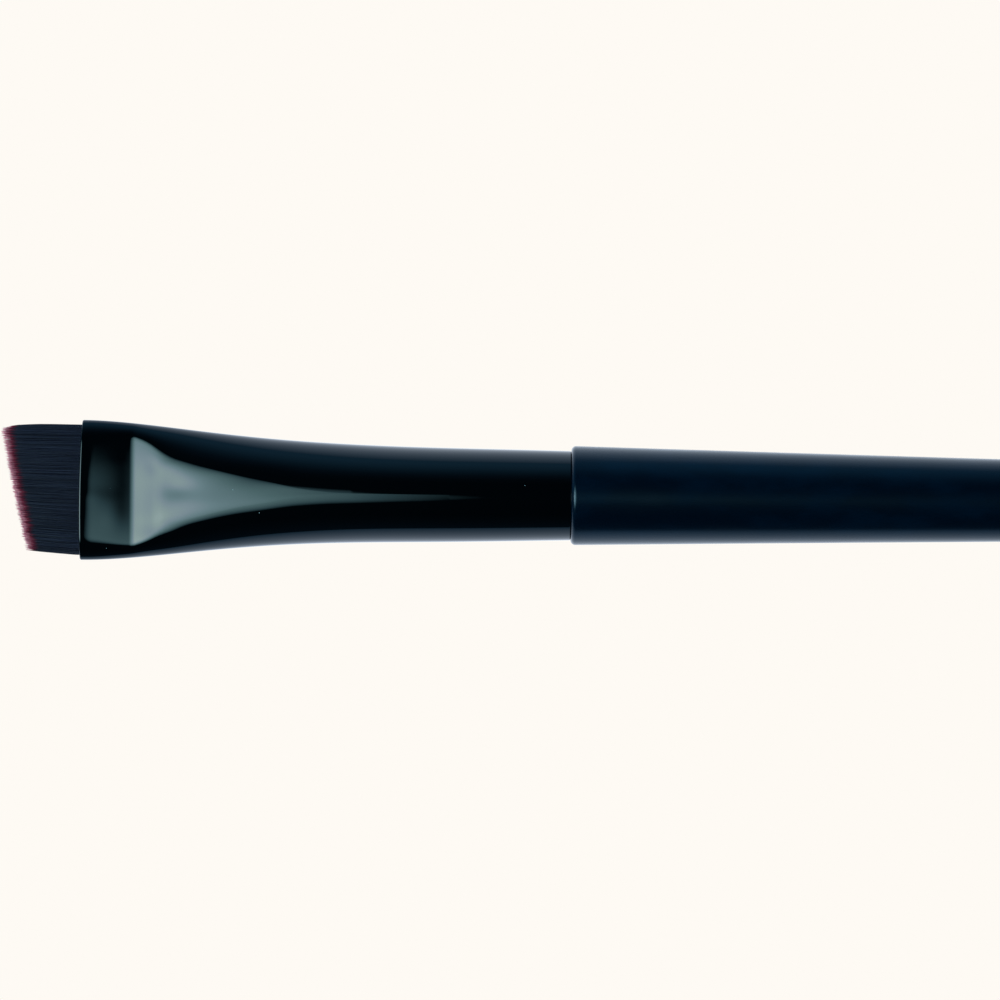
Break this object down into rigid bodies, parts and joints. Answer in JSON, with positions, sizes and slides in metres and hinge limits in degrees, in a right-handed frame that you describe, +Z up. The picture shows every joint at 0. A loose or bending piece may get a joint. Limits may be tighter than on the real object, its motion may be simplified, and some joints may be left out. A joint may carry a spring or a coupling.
{
  "type": "angled brow brush",
  "caption": "Slim make-up brush: short filament head cut on a slant in a ferrule pressed flat at its mouth, on a long tapered round handle.",
  "frame": {"origin": "centre of the bottom of the whole brush's box, on the surface that the brush lies on", "axes": "+X along the brush from its filaments to the end of its handle, +Y towards the side with the longer filaments, +Z up, out of the pressed face of the ferrule"},
  "size_m": [0.15, 0.0088, 0.0062],
  "materials": {
    "matte_black_lacquer": "turned birch under a matte black lacquer with a blue cast",
    "gloss_black_lacquer": "drawn aluminium under a high-gloss black lacquer",
    "black_filament": "satin blue-black synthetic filament, burgundy at the cut tips",
    "white_thread": "undyed twisted thread",
    "clear_epoxy": "cured, slightly amber epoxy",
    "wood_glue": "cured cream wood glue"
  },
  "bodies": {
    "root": {"handle": "matte_black_lacquer", "ferrule": "gloss_black_lacquer", "bristles": "black_filament", "binding_thread": "white_thread", "root_plug": "clear_epoxy", "tenon_glue": "wood_glue"}
  },
  "joints": []
}
